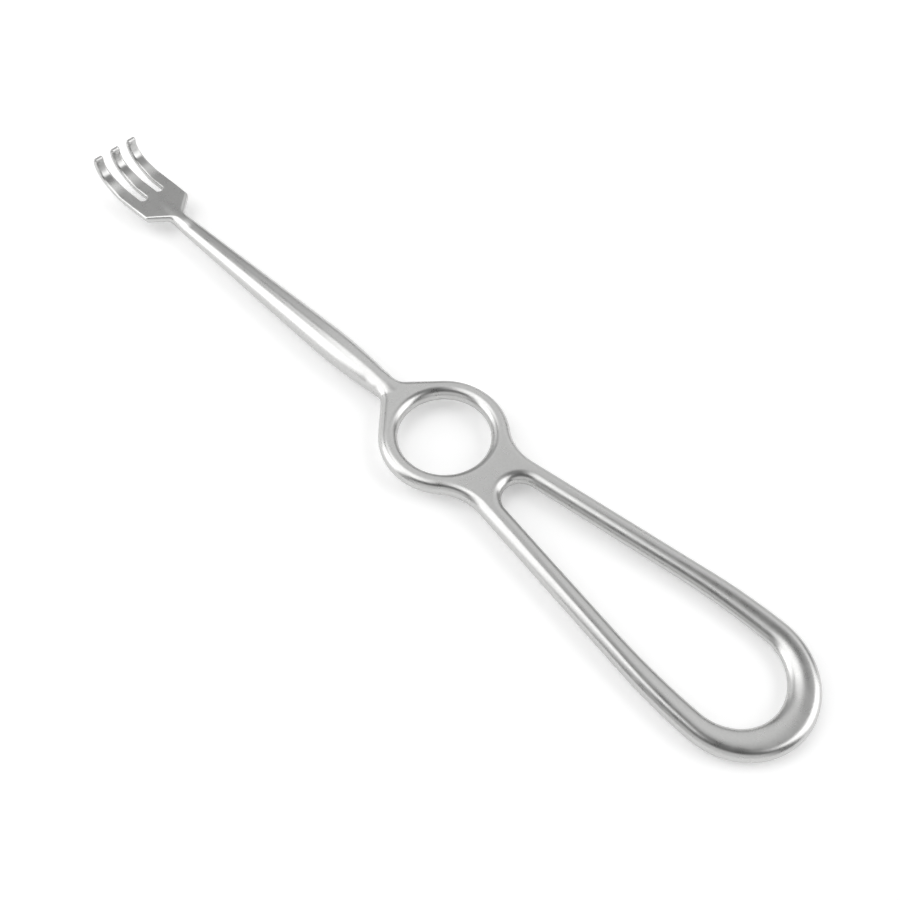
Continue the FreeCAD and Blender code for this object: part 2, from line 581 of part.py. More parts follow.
def is_sharp(shape, edge):
    """Whether the two faces at an edge meet at a corner."""
    if edge.Length < SHORTEST_EDGE:
        return False
    middle = edge.valueAt((edge.FirstParameter + edge.LastParameter) / 2)
    faces = shape.ancestorsOfType(edge, Part.Face)
    if len(faces) != 2:
        return False
    normals = [face.normalAt(*face.Surface.parameter(middle)) for face in faces]
    return normals[0].getAngle(normals[1]) > math.radians(CORNER)


def round_edges(name, radius, wanted):
    """Round every corner edge whose middle point passes the test."""
    base = body.Tip
    names = []
    for index, edge in enumerate(base.Shape.Edges, start=1):
        middle = edge.valueAt((edge.FirstParameter + edge.LastParameter) / 2)
        if wanted(edge, middle) and is_sharp(base.Shape, edge):
            names.append("Edge%d" % index)
    feature = body.newObject("PartDesign::Fillet", name)
    feature.Base = (base, names)
    feature.setExpression("Radius", radius)
    return finish(feature, base, -1)


def is_upright(edge):
    box = edge.BoundBox
    return box.XLength < SHORTEST_EDGE and box.YLength < SHORTEST_EDGE


def make_fork():
    pad("ForkPad", fork_side_sketch(), "Sizes.fork_width")
    outline = pocket("ForkShape", fork_outline_sketch())
    slot = pocket("SlotCut", slot_sketch())
    mirror("ForkOtherSide", [outline, slot], -1)
    plate_start = size("fork_neck_station") + SHORTEST_EDGE
    round_edges("ForkRound", FORK_ROUND, lambda edge, middle: middle.x > plate_start and not is_upright(edge))


def distance_from(centre_x, point):
    return math.hypot(point.x - centre_x, point.y)


def is_in_bore(edge, middle):
    return distance_from(0.0, middle) < size("ring_bore") / 2 + EDGE_REACH


def is_in_opening(edge, middle):
    """Whether a point lies inside the loop's outline, less half the width of its bars."""
    inner_start = -size("opening_end_station") - size("opening_end_radius") - EDGE_REACH
    if not inner_start < middle.x < -size("ring_outer_diameter") / 2:
        return False
    return not is_upright(edge) and abs(middle.y) < opening_half_width(middle.x) + EDGE_REACH


def opening_half_width(x):
    """Half the width of the loop opening at a place along the handle."""
    end_x, end_r = -size("opening_end_station"), size("opening_end_radius")
    if x < end_x:
        return math.sqrt(max(end_r ** 2 - (x - end_x) ** 2, 0.0))
    side_r, slope = size("opening_side_radius"), math.radians(opening_slope())
    curve_length = side_r * math.sin(slope)
    if x < end_x + curve_length:
        return end_r - side_r + math.sqrt(side_r ** 2 - (x - end_x) ** 2)
    return end_r - side_r * (1 - math.cos(slope)) - (x - end_x - curve_length) * math.tan(slope)


def make_handle():
    outline = pad("HandlePad", handle_outline_sketch(), "Sizes.handle_thickness")
    opening = pocket("OpeningCut", loop_opening_sketch())
    mirror("HandleOtherSide", [outline, opening], 1)
    pocket("BoreCut", ring_bore_sketch())
    fork_start = size("fork_neck_station") - EDGE_REACH
    round_edges("RingRound", RING_ROUND, is_in_bore)
    round_edges("OpeningRound", OPENING_ROUND, is_in_opening)
    round_edges("HandleRound", HANDLE_ROUND,
                lambda edge, middle: middle.x < fork_start and not is_upright(edge)
                and not is_in_opening(edge, middle) and not is_in_bore(edge, middle)
                and edge.BoundBox.XLength > SHORTEST_EDGE)


def make_shaft():
    sketch = shaft_sketch()
    base = body.Tip
    feature = body.newObject("PartDesign::Revolution", "Shaft")
    feature.Profile = sketch
    feature.ReferenceAxis = (sketch, ["H_Axis"])
    feature.Angle = 360
    return finish(feature, base, 1)


def lay_on_table():
    """Turn the prongs up a little, then lift the piece and put zero halfway along it."""
    prongs_up = FreeCAD.Rotation(FreeCAD.Vector(0, -1, 0), size("shaft_dip"))
    body.Placement = FreeCAD.Placement(FreeCAD.Vector(), prongs_up)
    body.setExpression("Placement.Rotation.Angle", REST_ANGLE)
    body.setExpression("Placement.Base.x", "(" + LOOP_REACH + " - " + FORK_REACH + ") / 2 * 1 mm")
    body.setExpression("Placement.Base.z", "(" + FOOT_REACH + " * sin(" + REST_ANGLE + ")"
                       " + Sizes.handle_thickness / 2 * cos(" + REST_ANGLE + ")) * 1 mm")
    doc.recompute()


def check_document():
    """Stop on any object that failed, and on a shape that isn't one valid solid."""
    for item in doc.Objects:
        if "Invalid" in item.State or "Error" in item.State:
            raise RuntimeError("%s is in error" % item.Name)
    if body.Shape.isNull() or not body.Shape.isValid() or len(body.Shape.Solids) != 1:
        raise RuntimeError("%s is not one valid solid" % body.Label)


make_fork()
make_handle()
make_shaft()
lay_on_table()
check_document()
os.makedirs("parts", exist_ok=True)
body.Shape.exportStep(os.path.join("parts", body.Label + ".step"))
box = body.Shape.optimalBoundingBox(False)
print("Laid down as %s" % body.Placement)
print("%s: %.2f x %.2f x %.2f mm, x %.3f..%.3f z %.3f..%.3f, %.1f mm3" % (
    body.Label, box.XLength, box.YLength, box.ZLength, box.XMin, box.XMax, box.ZMin, box.ZMax,
    body.Shape.Volume))
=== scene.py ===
"""Three-pronged hand retractor in satin stainless steel, on a white studio table.

Lengths in the settings and in the scene are in metres. The forging is drawn in millimetres, with X along the
instrument towards the prongs, Y across it, Z up and zero at the centre of the finger ring. It is drawn as a
form: a function of a place that is negative inside the metal and positive outside it. The finished form is
laid down as the solid lies, on the end of its loop and the swell of its shaft.
"""

import math
from types import SimpleNamespace

import bpy
import numpy as np
from mathutils import Euler, Matrix, Vector


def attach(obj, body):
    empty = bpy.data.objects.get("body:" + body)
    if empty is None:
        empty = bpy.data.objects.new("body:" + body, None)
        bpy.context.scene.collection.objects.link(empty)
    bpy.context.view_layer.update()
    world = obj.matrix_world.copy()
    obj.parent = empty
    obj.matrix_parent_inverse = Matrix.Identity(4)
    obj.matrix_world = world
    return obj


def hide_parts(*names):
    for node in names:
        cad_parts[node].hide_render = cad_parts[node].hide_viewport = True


bl_info = {
    "name": "Hand Retractor",
    "version": (1, 0, 0),
    "blender": (4, 5, 0),
    "location": "3D View > Sidebar > Retractor",
    "description": "Builds a satin steel hand retractor on a white table",
    "category": "Object",
}

NODE = "retractor"
MM = 0.001
SENSOR_MM = 36.0
CLIP_START = 0.01
QUARTER = math.pi / 2
HALF_TURN = math.pi
RING_CENTRE = (0.0, 0.0)

# How far the prongs' sides are drawn on past their tips, in millimetres
CUT_MARGIN = 2.0
# Facets' widths that are left free round the form
MARGIN_FACETS = 4
# Steps in which the facets' corners settle onto the form
SETTLE_STEPS = 3
# Distance to either side over which the form's slope is measured, in millimetres
PROBE = 0.02
# Least square of a slope by which a step is divided, which keeps it short where the form is nearly level
LEAST_SQUARE = 0.05
# Most values of a noise lie between these two
NOISE_LOW = 0.3
NOISE_HIGH = 0.7

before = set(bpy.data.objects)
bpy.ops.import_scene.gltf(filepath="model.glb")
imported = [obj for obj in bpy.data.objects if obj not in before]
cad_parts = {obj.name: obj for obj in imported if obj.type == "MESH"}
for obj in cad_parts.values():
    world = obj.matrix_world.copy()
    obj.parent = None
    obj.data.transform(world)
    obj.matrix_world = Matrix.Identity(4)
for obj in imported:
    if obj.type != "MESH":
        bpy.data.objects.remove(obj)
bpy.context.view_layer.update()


def linear(hex_colour):
    """An sRGB hex colour as linear RGBA."""
    channels = [int(hex_colour[i:i + 2], 16) / 255 for i in (1, 3, 5)]
    return tuple(c / 12.92 if c <= 0.04045 else ((c + 0.055) / 1.055) ** 2.4 for c in channels) + (1.0,)


def node(tree, kind, settings=None, links=None):
    """Add a node with its settings and links; a key is an attribute, an input's name or its index."""
    made = tree.nodes.new(kind)
    for key, value in (settings or {}).items():
        if isinstance(key, int) or key in made.inputs:
            made.inputs[key].default_value = value
        else:
            setattr(made, key, value)
    for key, source in (links or {}).items():
        tree.links.new(source, made.inputs[key])
    return made


def length(name, description, millimetres):
    """A size of the forging that a user can change."""
    return bpy.props.FloatProperty(
        name=name, description=description, default=millimetres * MM, min=0.0, precision=5, unit="LENGTH")


def slope(name, description, degrees):
    """An angle of the forging that a user can change."""
    return bpy.props.FloatProperty(
        name=name, description=description, default=math.radians(degrees), precision=3, unit="ROTATION")


class ForgingSizes(bpy.types.PropertyGroup):
    """Sizes of the forging; a station is a place along it, counted from the centre of the finger ring."""
    ring_bore: length("Finger hole", "Hole of the finger ring", 21)
    ring_outer: length("Ring", "Finger ring, outside", 29.7)
    handle_thickness: length("Handle thickness", "Loop, web and ring, top to bottom", 4.2)
    outer_round: length("Outer rounding", "How far the rounded outside of loop, web and ring reaches in", 2.0)
    opening_round: length("Opening rounding", "How far the rounding reaches in from the loop opening", 2.3)
    bore_round: length("Hole rounding", "How far the rounding reaches in from the finger hole", 2.1)
    loop_end_station: length("Loop end", "Centre of the loop's outer end", 80.2)
    loop_end_radius: length("Loop end radius", "Outer end of the loop", 16.1)
    loop_side_radius: length("Loop side curve", "Slow curve from that end to the straight sides", 125)
    widening_start: length("Widening start", "Where the slope towards the opening begins to widen", 25)
    widening_end: length("Widening end", "Where that slope takes up the rest of the bar", 75)
    loop_taper: slope("Loop taper", "Angle of the loop's sides to the long axis", 8)
    waist_radius: length("Waist", "Hollow curve between loop and ring", 12)
    opening_end_station: length("Opening end", "Centre of the opening's wide end", 79)
    opening_end_radius: length("Opening end radius", "Wide end of the loop opening", 10.6)
    opening_side_radius: length("Opening side curve", "Slow curve from that end to the straight sides", 160)
    opening_apex_radius: length("Opening apex", "Narrow end of the loop opening", 4.3)
    opening_apex_station: length("Opening apex place", "Centre of that narrow end", 23.2856)
    flare_angle: slope("Flare angle", "Slope of the web between ring and shaft", 47)
    flare_neck_radius: length("Flare neck", "Hollow curve where that web meets the shaft", 5)
    flare_neck_width: length("Flare neck width", "Web where it runs out into the shaft", 5.2)
    flare_run_out: length("Flare run-out", "Length over which the web sinks into the shaft", 4)
    web_blend: length("Web blend", "Soft hollow between web and shaft", 1.0)
    shaft_dip: slope("Shaft dip", "Angle by which the shaft points below the handle's plane", 1)
    shaft_root_station: length("Shaft root", "Start of the shaft inside the web", 15)
    shaft_neck_station: length("Shaft neck", "Shaft where it leaves the web", 18.5)
    shaft_root_curve: length("Shaft root curve", "Lengthwise curve by which the shaft sinks into the web", 8)
    swell_station: length("Swell", "Thickest place of the shaft", 37)
    swell_diameter: length("Swell diameter", "Shaft at its thickest", 7.6)
    swell_radius: length("Swell curve", "Lengthwise curve of the thickest stretch", 150)
    shaft_taper: slope("Shaft taper", "Slope of the shaft's side from there to the fork", 1.65)
    shaft_end_station: length("Shaft end", "End of the plain taper", 94)
    shaft_tip_station: length("Shaft tip", "Where the shaft has sunk into the plate", 104)
    shaft_tip_radius: length("Shaft tip radius", "Shaft at that place", 0.85)
    plate_top_station: length("Plate station", "Place at which the plate's height is given", 100)
    plate_top_height: length("Plate height", "Top of the plate there, above the handle's middle", 0.2)
    plate_slope: slope("Plate slope", "Angle by which the plate points down", 3.5)
    plate_thickness: length("Plate thickness", "Plate and foot of each prong", 2)
    plate_tail: length("Plate tail", "Length over which the plate sinks into the shaft", 4)
    bend_station: length("Bend", "Centre of the slow upward bend of the prongs", 113.9)
    bend_radius: length("Bend radius", "Underside of that bend", 15.3)
    ramp_angle: slope("Ramp", "Upward angle of the prongs after it", 29)
    hook_radius: length("Hooks", "Outside of the hooks", 4.8)
    hook_inner_radius: length("Hooks inside", "Inside of the hooks", 3.63)
    hook_angle: slope("Hook end", "Direction in which the hooks end", 131)
    fork_width: length("Fork width", "Three prongs, over their outer sides", 13.5)
    fork_neck_station: length("Fork neck", "Where the plate grows out of the shaft", 94.8)
    fork_neck_width: length("Fork neck width", "Width of the plate there", 1.8)
    fork_neck_radius: length("Fork neck radius", "Hollow curve between shaft and shoulder", 4)
    shoulder_angle: slope("Shoulder angle", "Slope of the shoulders", 46.5)
    shoulder_radius: length("Shoulder corner", "Corner of the shoulders", 1.5)
    slot_station: length("Slot root", "Root of the slots", 108.1)
    slot_width: length("Slot width", "Gap between the prongs", 2)
    middle_prong_width: length("Middle prong", "Middle prong at its foot", 3.1)
    prong_tip_width: length("Prong tip", "Each prong at its tip", 2.4)
    taper_station: length("Prong taper", "Where the prongs begin to taper", 113.4)
    fork_round: length("Fork edge", "Rounded edges of the prongs", 0.45)
    shoulder_round: length("Shoulder edge", "Rounded edges of the plate's shoulders", 0.9)
    neck_blend: length("Neck blend", "Soft hollow between shaft and plate", 1.2)
    rest_station: length("Rest", "Where the loop's end touches the table", 94.3)
    mesh_pitch: length("Mesh pitch", "Side of a facet on handle and shaft", 0.42)
    cross_pitch: length("Cross pitch", "Side of a facet across the piece", 0.27)
    fork_pitch: length("Fork mesh pitch", "Length of a facet on the fork", 0.24)


class SteelFinish(bpy.types.PropertyGroup):
    """Colour, polish and grain of the steel."""
    colour: bpy.props.FloatVectorProperty(
        name="Steel", description="Colour of the satin steel", subtype="COLOR", size=4,
        min=0.0, max=1.0, default=linear("#c6c6c5"))
    roughness: bpy.props.FloatProperty(
        name="Roughness", description="Blur of the satin finish", subtype="FACTOR",
        min=0.0, max=1.0, default=0.29)
    roughness_spread: bpy.props.FloatProperty(
        name="Uneven polish", description="How far the roughness strays to either side", subtype="FACTOR",
        min=0.0, max=0.5, default=0.03)
    tone_spread: bpy.props.FloatProperty(
        name="Uneven tone", description="How far the brightness strays to either side", subtype="FACTOR",
        min=0.0, max=0.5, default=0.03)
    cloud_size: length("Cloud size", "Size of the patches of uneven polish", 2.5)
    grain_size: length("Grain size", "Size of the dimples that the blasting leaves", 0.45)
    grain_depth: length("Grain depth", "Depth of those dimples", 0.0015)


class StudioSetup(bpy.types.PropertyGroup):
    """Table, light and camera."""
    table_side: bpy.props.FloatProperty(
        name="Table side", description="Side of the square table", unit="LENGTH", min=0.0, default=6.0)
    table_colour: bpy.props.FloatVectorProperty(
        name="Table", description="Colour of the table", subtype="COLOR", size=4,
        min=0.0, max=1.0, default=linear("#f4f4f4"))
    table_glow: bpy.props.FloatProperty(
        name="Table glow", description="Light that the translucent table lets through from below",
        min=0.0, default=0.05)
    table_lift: bpy.props.FloatProperty(
        name="Table lift", description="Light added where the table is seen directly or in the steel",
        min=0.0, default=0.22)
    panel_softness: bpy.props.FloatProperty(
        name="Panel softness", description="Share of a light panel over which each of its edges fades",
        subtype="FACTOR", min=0.01, max=0.5, default=0.25)
    room_colour: bpy.props.FloatVectorProperty(
        name="Room", description="Colour of the dark room round the light panels", subtype="COLOR", size=4,
        min=0.0, max=1.0, default=linear("#5a5a5a"))
    camera_place: bpy.props.FloatVectorProperty(
        name="Camera", description="Where the camera stands", subtype="TRANSLATION", unit="LENGTH",
        size=3, default=(-0.10419, 0.08920, 0.19184))
    camera_turn: bpy.props.FloatVectorProperty(
        name="Camera turn", description="Which way the camera looks", subtype="EULER", unit="ROTATION",
        size=3, default=tuple(math.radians(a) for a in (33.246, 0.190, -135.446)))
    lens_mm: bpy.props.FloatProperty(
        name="Lens", description="Focal length on a 36 mm sensor", unit="CAMERA", default=40.54, min=10.0)


def in_millimetres(group):
    """The sizes of a group as plain numbers, lengths in millimetres and angles in radians."""
    values = SimpleNamespace()
    for prop in group.bl_rna.properties:
        if prop.type == "FLOAT":
            value = getattr(group, prop.identifier)
            setattr(values, prop.identifier, value / MM if prop.unit == "LENGTH" else value)
    return values


def point_at(centre, radius, direction):
    """Point at a distance from a centre, in a direction in radians."""
    return (centre[0] + radius * math.cos(direction), centre[1] + radius * math.sin(direction))


def unit(direction):
    """Step of length 1 in a direction in radians."""
    return (math.cos(direction), math.sin(direction))


class Straight:
    """Straight stretch of an outline, with the metal on its right."""

    def __init__(self, start, end):
        self.ends = (start, end)
        self.length = math.dist(start, end)
        self.along = ((end[0] - start[0]) / self.length, (end[1] - start[1]) / self.length)

    def offset(self, x, y):
        """Signed distance, and where its foot lies on this stretch."""
        dx, dy = x - self.ends[0][0], y - self.ends[0][1]
        foot = dx * self.along[0] + dy * self.along[1]
        return dy * self.along[0] - dx * self.along[1], (foot >= 0) & (foot <= self.length)


class Arc:
    """Round stretch between two directions in radians; hollow where the metal lies outside its circle."""

    def __init__(self, centre, radius, first, last, hollow=False):
        self.centre, self.radius, self.first, self.sweep = centre, radius, first, last - first
        self.side = -1.0 if hollow else 1.0
        self.ends = (point_at(centre, radius, first), point_at(centre, radius, last))

    def offset(self, x, y):
        """Signed distance, and where its foot lies on this stretch."""
        dx, dy = x - self.centre[0], y - self.centre[1]
        turned = (np.arctan2(dy, dx) - self.first) % (2 * HALF_TURN)
        return self.side * (np.hypot(dx, dy) - self.radius), turned <= self.sweep


def outline_distance(outline, x, y):
    """Signed distance to a smooth outline, positive outside the metal."""
    best = np.full(np.broadcast(x, y).shape, np.inf)
    for stretch in outline:
        offset, covered = stretch.offset(x, y)
        best = np.where(covered & (np.abs(offset) < np.abs(best)), offset, best)
        for end in stretch.ends:
            reach = np.hypot(x - end[0], y - end[1])
            best = np.where(~covered & (reach < np.abs(best)), np.copysign(reach, offset), best)
    return best


def loop_side(end_at, end_radius, side_radius, taper):
    """Centre and inner end of the slow curve that leads from a wide end to a straight side."""
    centre = (end_at[0], end_radius - side_radius)
    return centre, point_at(centre, side_radius, QUARTER - taper)


def opening_taper(s):
    """Angle of the opening's straight sides, which touch the curves at both its ends."""
    run = s.opening_end_station - s.opening_apex_station
    rise = s.opening_side_radius - s.opening_end_radius
    gap = s.opening_side_radius - s.opening_apex_radius
    return math.atan2(run, rise) - math.acos(gap / math.hypot(run, rise))


def handle_outline(s):
    """Outside of loop, waist, ring and web, on the side of positive Y."""
    end_at = (-s.loop_end_station, 0.0)
    side_at, side_end = loop_side(end_at, s.loop_end_radius, s.loop_side_radius, s.loop_taper)
    ring_radius = s.ring_outer / 2
    # The waist's centre lies on a line beside the straight side, at the first place within reach of the ring
    across, along = unit(QUARTER - s.loop_taper), unit(-s.loop_taper)
    base = (side_end[0] + s.waist_radius * across[0], side_end[1] + s.waist_radius * across[1])
    base_along = base[0] * along[0] + base[1] * along[1]
    reach = ring_radius + s.waist_radius
    step = -base_along - math.sqrt(base_along ** 2 - base[0] ** 2 - base[1] ** 2 + reach ** 2)
    waist = (base[0] + step * along[0], base[1] + step * along[1])
    to_waist = math.atan2(waist[1], waist[0])
    to_flare = QUARTER - s.flare_angle
    neck_y = s.flare_neck_width / 2 + s.flare_neck_radius
    neck_x = (ring_radius + s.flare_neck_radius - neck_y * math.sin(to_flare)) / math.cos(to_flare)
    neck = (neck_x, neck_y)
    flare_start = point_at(RING_CENTRE, ring_radius, to_flare)
    flare_end = point_at(neck, s.flare_neck_radius, to_flare + HALF_TURN)
    return [
        Arc(end_at, s.loop_end_radius, QUARTER, 3 * QUARTER),
        Arc(side_at, s.loop_side_radius, QUARTER - s.loop_taper, QUARTER),
        Straight(side_end, point_at(waist, s.waist_radius, 3 * QUARTER - s.loop_taper)),
        Arc(waist, s.waist_radius, 3 * QUARTER - s.loop_taper, to_waist + HALF_TURN, hollow=True),
        Arc(RING_CENTRE, ring_radius, to_flare, to_waist),
        Straight(flare_start, flare_end),
        Arc(neck, s.flare_neck_radius, to_flare + HALF_TURN, 3 * QUARTER, hollow=True),
        Straight((neck_x, s.flare_neck_width / 2), (s.shaft_end_station, s.flare_neck_width / 2)),
    ]


def opening_outline(s):
    """The loop's opening, on the side of positive Y."""
    end_at, apex = (-s.opening_end_station, 0.0), (-s.opening_apex_station, 0.0)
    taper = opening_taper(s)
    side_at, side_end = loop_side(end_at, s.opening_end_radius, s.opening_side_radius, taper)
    return [
        Arc(end_at, s.opening_end_radius, QUARTER, 3 * QUARTER, hollow=True),
        Arc(side_at, s.opening_side_radius, QUARTER - taper, QUARTER, hollow=True),
        Straight(point_at(apex, s.opening_apex_radius, QUARTER - taper), side_end),
        Arc(apex, s.opening_apex_radius, -QUARTER, QUARTER - taper, hollow=True),
    ]


def bend_centres(s):
    """Centres of the slow bend and of the outside and inside of the hooks, seen from the side."""
    fall, inner = math.tan(s.plate_slope), s.bend_radius - s.plate_thickness
    bend_top_x = s.bend_station - inner * math.sin(s.plate_slope)
    bend_top_z = s.plate_top_height - (bend_top_x - s.plate_top_station) * fall
    bend = (s.bend_station, bend_top_z + inner * math.cos(s.plate_slope))
    outside = point_at(bend, s.bend_radius - s.hook_radius, s.ramp_angle - QUARTER)
    inside = point_at(bend, inner - s.hook_inner_radius, s.ramp_angle - QUARTER)
    return bend, outside, inside


def hook_reach(s):
    """How far the hooks reach, along X and up."""
    _, outside, _ = bend_centres(s)
    return outside[0] + s.hook_radius, outside[1] + s.hook_radius


def fork_outline(s):
    """Outside of plate and outer prong from above, and one slot, on the side of positive Y."""
    half, middle, tip = s.fork_width / 2, s.middle_prong_width / 2, s.prong_tip_width / 2
    end_x = hook_reach(s)[0] + CUT_MARGIN
    outer_prong = (middle + s.slot_width + half) / 2
    neck = (s.fork_neck_station, s.fork_neck_width / 2 + s.fork_neck_radius)
    neck_end = point_at(neck, s.fork_neck_radius, s.shoulder_angle - QUARTER)
    level = half - s.shoulder_radius * (1 - math.cos(s.shoulder_angle))
    corner_start = (neck_end[0] + (level - neck_end[1]) / math.tan(s.shoulder_angle), level)
    corner = (corner_start[0] + s.shoulder_radius * math.sin(s.shoulder_angle), half - s.shoulder_radius)
    outside = [
        Straight((s.swell_station, s.fork_neck_width / 2), (neck[0], s.fork_neck_width / 2)),
        Arc(neck, s.fork_neck_radius, -QUARTER, s.shoulder_angle - QUARTER, hollow=True),
        Straight(neck_end, corner_start),
        Arc(corner, s.shoulder_radius, QUARTER, QUARTER + s.shoulder_angle),
        Straight((corner[0], half), (s.taper_station, half)),
        Straight((s.taper_station, half), (end_x, outer_prong + tip)),
    ]
    root = (s.slot_station + s.slot_width / 2, middle + s.slot_width / 2)
    slot = [
        Straight((end_x, outer_prong - tip), (s.taper_station, middle + s.slot_width)),
        Straight((s.taper_station, middle + s.slot_width), (root[0], middle + s.slot_width)),
        Arc(root, s.slot_width / 2, QUARTER, 3 * QUARTER, hollow=True),
        Straight((root[0], middle), (s.taper_station, middle)),
        Straight((s.taper_station, middle), (end_x, tip)),
    ]
    return outside, slot


def fork_sides(s):
    """Top and underside of the fork, seen from the side."""
    bend, outside, inside = bend_centres(s)
    bend_start, bend_end = -QUARTER - s.plate_slope, s.ramp_angle - QUARTER
    # The hooks are drawn a quarter turn past their tips, and the square cut takes that off
    past_tip = s.hook_angle
    inner = s.bend_radius - s.plate_thickness
    fall = math.tan(s.plate_slope)

    def plate_start(end):
        """Where the straight plate is drawn from: far back, inside the shaft."""
        return (s.swell_station, end[1] + (end[0] - s.swell_station) * fall)

    top_end = point_at(bend, inner, bend_start)
    underside_end = point_at(bend, s.bend_radius, bend_start)
    top = [
        Straight(plate_start(top_end), top_end),
        Arc(bend, inner, bend_start, bend_end, hollow=True),
        Arc(inside, s.hook_inner_radius, bend_end, past_tip, hollow=True),
    ]
    underside = [
        Straight(underside_end, plate_start(underside_end)),
        Arc(bend, s.bend_radius, bend_start, bend_end),
        Arc(outside, s.hook_radius, bend_end, past_tip),
    ]
    return top, underside


def meet(a, b, rounding):
    """What two forms share, with a rounded edge where they meet."""
    return (np.minimum(np.maximum(a, b), -rounding)
            + np.hypot(np.maximum(a + rounding, 0), np.maximum(b + rounding, 0)))


def blend(a, b, width):
    """Two forms as one, with a soft hollow where they meet."""
    near = np.maximum(width - np.abs(a - b), 0) / width
    return np.minimum(a, b) - near ** 2 * width / 4


class Forging:
    """The whole form; every method takes arrays of places in millimetres."""

    def __init__(self, s):
        self.s = s
        self.outside, self.opening = handle_outline(s), opening_outline(s)
        self.fork_outside, self.slot = fork_outline(s)
        self.fork_top, self.fork_underside = fork_sides(s)

    def handle(self, x, y, z):
        """Loop, web and ring: flat where they are wide, and rounded like a rod where they are narrow.

        Each edge is a quarter of an ellipse, half the thickness high and as wide as its rounding reaches in.
        Towards the loop's end the slope to the opening widens until it takes up the whole bar.
        """
        s = self.s
        outer, inner = outline_distance(self.outside, x, y), outline_distance(self.opening, x, y)
        bore = s.ring_bore / 2 - np.hypot(x, y)
        widening = np.clip((-x - s.widening_start) / (s.widening_end - s.widening_start), 0, 1)
        bar_width = np.maximum(-(outer + inner), s.outer_round + s.opening_round)
        slope_width = s.opening_round + widening * (bar_width - s.outer_round - s.opening_round)
        web_end = self.outside[-1].ends[0][0]
        edges = np.maximum((x - web_end) / s.flare_run_out, 0) ** 2
        for offset, rounding in ((outer, s.outer_round), (inner, slope_width), (bore, s.bore_round)):
            edges = edges + np.maximum(offset / rounding + 1, 0) ** 2
        half = s.handle_thickness / 2
        return (np.sqrt(edges + (z / half) ** 2) - 1) * half

    def shaft_radius(self, x):
        """Radius along the shaft: curve out of the web, swell, plain taper and curve into the plate."""
        s = self.s
        swell = (s.swell_station, s.swell_diameter / 2 - s.swell_radius)
        to_neck = math.acos((s.shaft_neck_station - swell[0]) / s.swell_radius)
        root = point_at(swell, s.swell_radius - s.shaft_root_curve, to_neck)
        taper_start = point_at(swell, s.swell_radius, QUARTER - s.shaft_taper)
        fall = math.tan(s.shaft_taper)
        end_radius = taper_start[1] - (s.shaft_end_station - taper_start[0]) * fall
        drop, run = end_radius - s.shaft_tip_radius, s.shaft_tip_station - s.shaft_end_station
        across = unit(QUARTER - s.shaft_taper)
        tip_curve = (drop ** 2 + run ** 2) / (2 * (drop * across[1] - run * across[0]))
        tip = (s.shaft_end_station - tip_curve * across[0], end_radius - tip_curve * across[1])

        def circle(centre, radius):
            """Height of a circle's upper half along the shaft."""
            return centre[1] + np.sqrt(np.maximum(radius ** 2 - (x - centre[0]) ** 2, 0))

        before = [x < s.shaft_neck_station, x < taper_start[0], x < s.shaft_end_station]
        stretches = [circle(root, s.shaft_root_curve), circle(swell, s.swell_radius),
                     taper_start[1] - (x - taper_start[0]) * fall]
        return np.select(before, stretches, circle(tip, tip_curve))

    def shaft(self, x, y, z):
        """Round shaft about an axis that dips below the handle."""
        s = self.s
        along = x * math.cos(s.shaft_dip) - z * math.sin(s.shaft_dip)
        above = x * math.sin(s.shaft_dip) + z * math.cos(s.shaft_dip)
        ends = np.maximum(s.shaft_root_station - along, along - s.shaft_tip_station)
        return np.maximum(np.hypot(y, above) - self.shaft_radius(along), ends)

    def fork(self, x, y, z):
        """Plate and three prongs."""
        s = self.s
        top, underside = outline_distance(self.fork_top, x, z), outline_distance(self.fork_underside, x, z)
        # The tips are cut square to the hooks, through the centre of the hooks' curve. The cut holds only
        # inside that curve, on its side away from the ramp
        _, centre, _ = bend_centres(s)
        beyond, above_ramp = unit(s.hook_angle), unit(s.ramp_angle + QUARTER)
        dx, dz = x - centre[0], z - centre[1]
        by_hook = np.hypot(dx, dz) < s.hook_radius + s.fork_round
        over_ramp = dx * above_ramp[0] + dz * above_ramp[1] > -s.hook_inner_radius / 2
        past_tip = np.where(by_hook & over_ramp, dx * beyond[0] + dz * beyond[1], -s.hook_radius)
        side = meet(np.maximum(top, underside), past_tip, s.fork_round)
        plan = np.maximum(outline_distance(self.fork_outside, x, y), outline_distance(self.slot, x, y))
        back = np.clip((s.slot_station - x) / (s.slot_station - s.plate_top_station), 0, 1)
        plate = meet(side, plan, s.fork_round + back * (s.shoulder_round - s.fork_round))
        return plate + s.neck_blend * (np.maximum(s.fork_neck_station - x, 0) / s.plate_tail) ** 2

    def whole(self, x, y, z):
        """The forging; y is taken without its sign, because both sides are alike."""
        y = np.abs(y)
        handle_and_shaft = blend(self.handle(x, y, z), self.shaft(x, y, z), self.s.web_blend)
        return blend(handle_and_shaft, self.fork(x, y, z), self.s.neck_blend)


def along_axis(axis, part):
    """Slices that take a part along one axis and everything along the others."""
    return tuple(part if a == axis else slice(None) for a in range(3))


